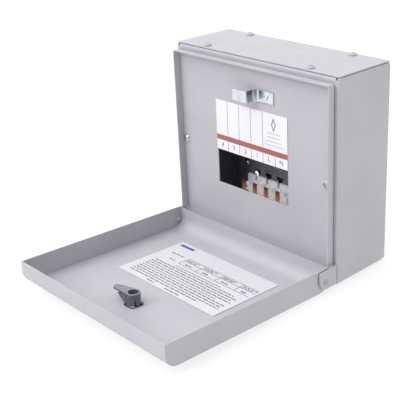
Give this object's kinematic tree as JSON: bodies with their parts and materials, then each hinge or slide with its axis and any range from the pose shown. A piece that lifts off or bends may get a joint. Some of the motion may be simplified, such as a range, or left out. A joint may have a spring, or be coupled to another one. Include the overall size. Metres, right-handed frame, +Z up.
{
  "type": "subpanel enclosure",
  "caption": "Wall-mounted steel subpanel enclosure with a drop-down door, quarter-turn latch, device aperture and busbar chassis.",
  "frame": {"origin": "centre of the back face of the box, where it meets its wall", "axes": "+Z up, +Y into the wall, -Y out towards the user, +X to the user's right"},
  "size_m": [0.2424, 0.3131, 0.2316],
  "materials": {
    "grey_paint": "pale grey semi-matt powder coat",
    "label_white": "white printed film, matt",
    "bright_zinc": "bright zinc plated steel",
    "slate_plastic": "dark slate moulded plastic",
    "galvanised_steel": "dull galvanised sheet",
    "grey_moulding": "light grey moulded insulator",
    "copper": "bare copper strip",
    "brass": "drawn brass bar"
  },
  "bodies": {
    "enclosure": {"hinge_rivet_left": "grey_paint", "hinge_rivet_right": "grey_paint", "enclosure_body": "grey_paint", "top_gland_plate": "grey_paint", "bottom_gland_plate": "grey_paint", "front_cover": "grey_paint", "top_plate_screw_1": "grey_paint", "top_plate_screw_2": "grey_paint", "top_plate_screw_3": "grey_paint", "top_plate_screw_4": "grey_paint", "bottom_plate_screw_1": "grey_paint", "bottom_plate_screw_2": "grey_paint", "bottom_plate_screw_3": "grey_paint", "bottom_plate_screw_4": "grey_paint", "circuit_label": "label_white", "latch_keeper": "bright_zinc", "keeper_rivet": "bright_zinc", "cover_screw_left": "bright_zinc", "cover_screw_right": "bright_zinc", "cover_nut_left": "bright_zinc", "cover_nut_right": "bright_zinc", "pan_bond_screw": "bright_zinc", "pan_screw_1": "bright_zinc", "pan_screw_2": "bright_zinc", "pan_screw_3": "bright_zinc", "pan_screw_4": "bright_zinc", "neutral_screw_1": "bright_zinc", "neutral_screw_2": "bright_zinc", "neutral_screw_3": "bright_zinc", "neutral_screw_4": "bright_zinc", "earth_screw_1": "bright_zinc", "earth_screw_2": "bright_zinc", "earth_screw_3": "bright_zinc", "earth_screw_4": "bright_zinc", "chassis_pan": "galvanised_steel", "busbar_support": "grey_moulding", "neutral_support_left": "grey_moulding", "neutral_support_right": "grey_moulding", "earth_support_left": "grey_moulding", "earth_support_right": "grey_moulding", "comb_busbar": "copper", "neutral_bar": "brass", "earth_bar": "brass"},
    "door": {"door_panel": "grey_paint", "door_label": "label_white", "latch_housing": "slate_plastic"},
    "latch": {"latch_cam": "slate_plastic", "latch_core": "slate_plastic"}
  },
  "joints": [
    {"name": "door_hinge", "type": "hinge", "parent": "enclosure", "child": "door", "pos_m": [0, -0.0999, -0.10245], "axis": [-1, 0, 0], "range_deg": [0, 87.6]},
    {"name": "latch_turn", "type": "hinge", "parent": "door", "child": "latch", "pos_m": [0.002, -0.25886, -0.09579], "axis": [0, 0.0419, 0.9991], "range_deg": [-8, 76]}
  ]
}
